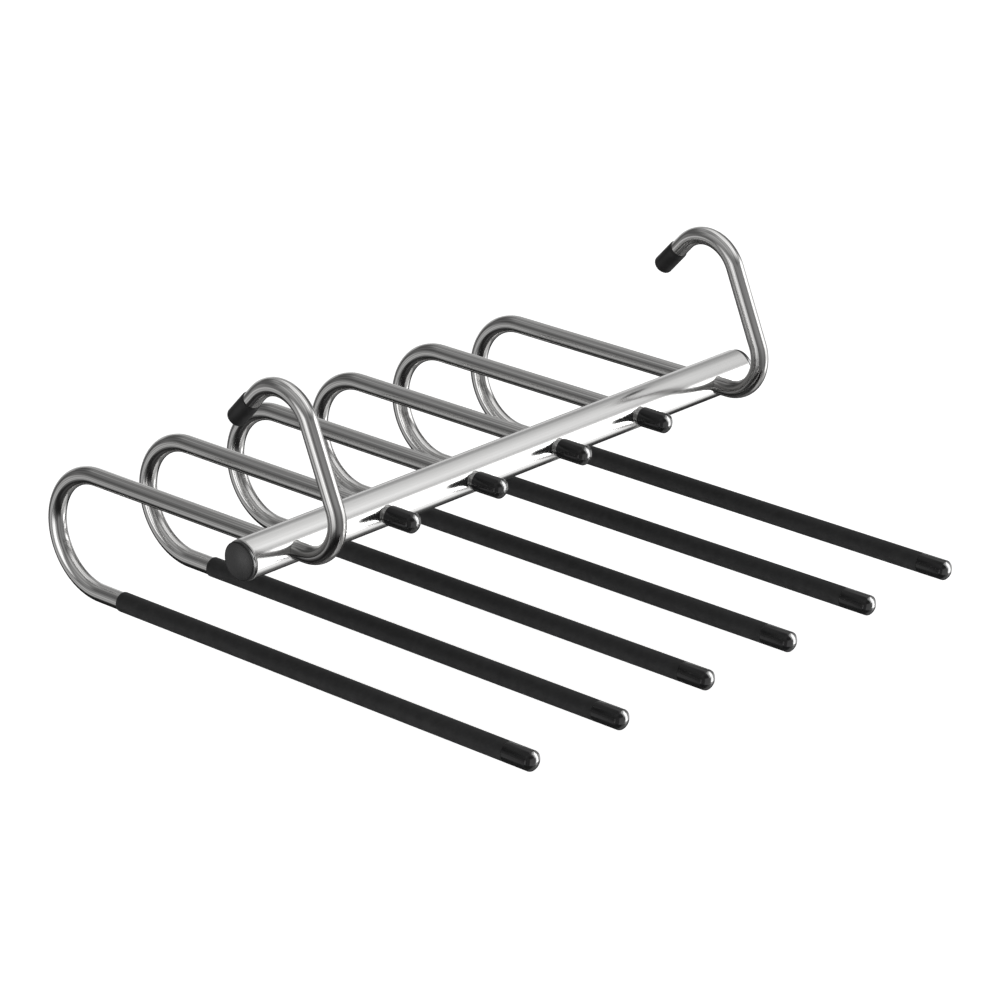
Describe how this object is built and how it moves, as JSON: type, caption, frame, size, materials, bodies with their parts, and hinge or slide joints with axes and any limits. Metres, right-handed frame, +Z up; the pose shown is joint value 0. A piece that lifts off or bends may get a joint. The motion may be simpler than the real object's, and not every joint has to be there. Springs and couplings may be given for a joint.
{
  "type": "trouser hanger",
  "caption": "Trouser hanger: a polished beam tube crossed by bent arms whose sleeved bars hold trousers; each arm swings on the beam, and hooks go over a wardrobe rail.",
  "frame": {"origin": "on the axis of the wardrobe rail where it lies in the crowns of the hooks, half-way between them", "axes": "+X along the beam and the rail, -Y towards the bars' free tips, +Z up"},
  "size_m": [0.3572, 0.3217, 0.1477],
  "materials": {
    "polished_steel": "mirror-polished stainless steel with fine lengthwise drawing lines",
    "sleeve_rubber": "matt black, finely pitted, non-slip",
    "cap_plastic": "glossy black moulding",
    "hook_rubber": "matt black moulding",
    "plug_plastic": "satin black moulding",
    "collar_nylon": "natural nylon"
  },
  "bodies": {
    "beam": {"beam_tube": "polished_steel", "end_plug_left": "plug_plastic", "end_plug_right": "plug_plastic"},
    "arm_1": {"hook_arm_left": "polished_steel", "sleeve_1": "sleeve_rubber", "collar_1": "collar_nylon", "tip_cap_1": "cap_plastic", "hook_cap_left": "hook_rubber"},
    "arm_2": {"arm_rod_2": "polished_steel", "sleeve_2": "sleeve_rubber", "collar_2": "collar_nylon", "tip_cap_2": "cap_plastic", "stub_cap_2": "cap_plastic"},
    "arm_3": {"arm_rod_3": "polished_steel", "sleeve_3": "sleeve_rubber", "collar_3": "collar_nylon", "tip_cap_3": "cap_plastic", "stub_cap_3": "cap_plastic"},
    "arm_4": {"arm_rod_4": "polished_steel", "sleeve_4": "sleeve_rubber", "collar_4": "collar_nylon", "tip_cap_4": "cap_plastic", "stub_cap_4": "cap_plastic"},
    "arm_5": {"arm_rod_5": "polished_steel", "sleeve_5": "sleeve_rubber", "collar_5": "collar_nylon", "tip_cap_5": "cap_plastic", "stub_cap_5": "cap_plastic"},
    "arm_6": {"hook_arm_right": "polished_steel", "sleeve_6": "sleeve_rubber", "collar_6": "collar_nylon", "tip_cap_6": "cap_plastic", "hook_cap_right": "hook_rubber"}
  },
  "joints": [
    {"name": "arm_1_swing", "type": "hinge", "parent": "beam", "child": "arm_1", "pos_m": [-0.15, 0.00086, -0.05751], "axis": [0, -1, 0], "range_deg": [-75, 75]},
    {"name": "arm_2_swing", "type": "hinge", "parent": "beam", "child": "arm_2", "pos_m": [-0.09, 0.00086, -0.05751], "axis": [0, -1, 0], "range_deg": [-75, 75]},
    {"name": "arm_3_swing", "type": "hinge", "parent": "beam", "child": "arm_3", "pos_m": [-0.03, 0.00086, -0.05751], "axis": [0, -1, 0], "range_deg": [-75, 75]},
    {"name": "arm_4_swing", "type": "hinge", "parent": "beam", "child": "arm_4", "pos_m": [0.03, 0.00086, -0.05751], "axis": [0, -1, 0], "range_deg": [-75, 75]},
    {"name": "arm_5_swing", "type": "hinge", "parent": "beam", "child": "arm_5", "pos_m": [0.09, 0.00086, -0.05751], "axis": [0, -1, 0], "range_deg": [-75, 75]},
    {"name": "arm_6_swing", "type": "hinge", "parent": "beam", "child": "arm_6", "pos_m": [0.15, 0.00086, -0.05751], "axis": [0, -1, 0], "range_deg": [-75, 75]}
  ]
}
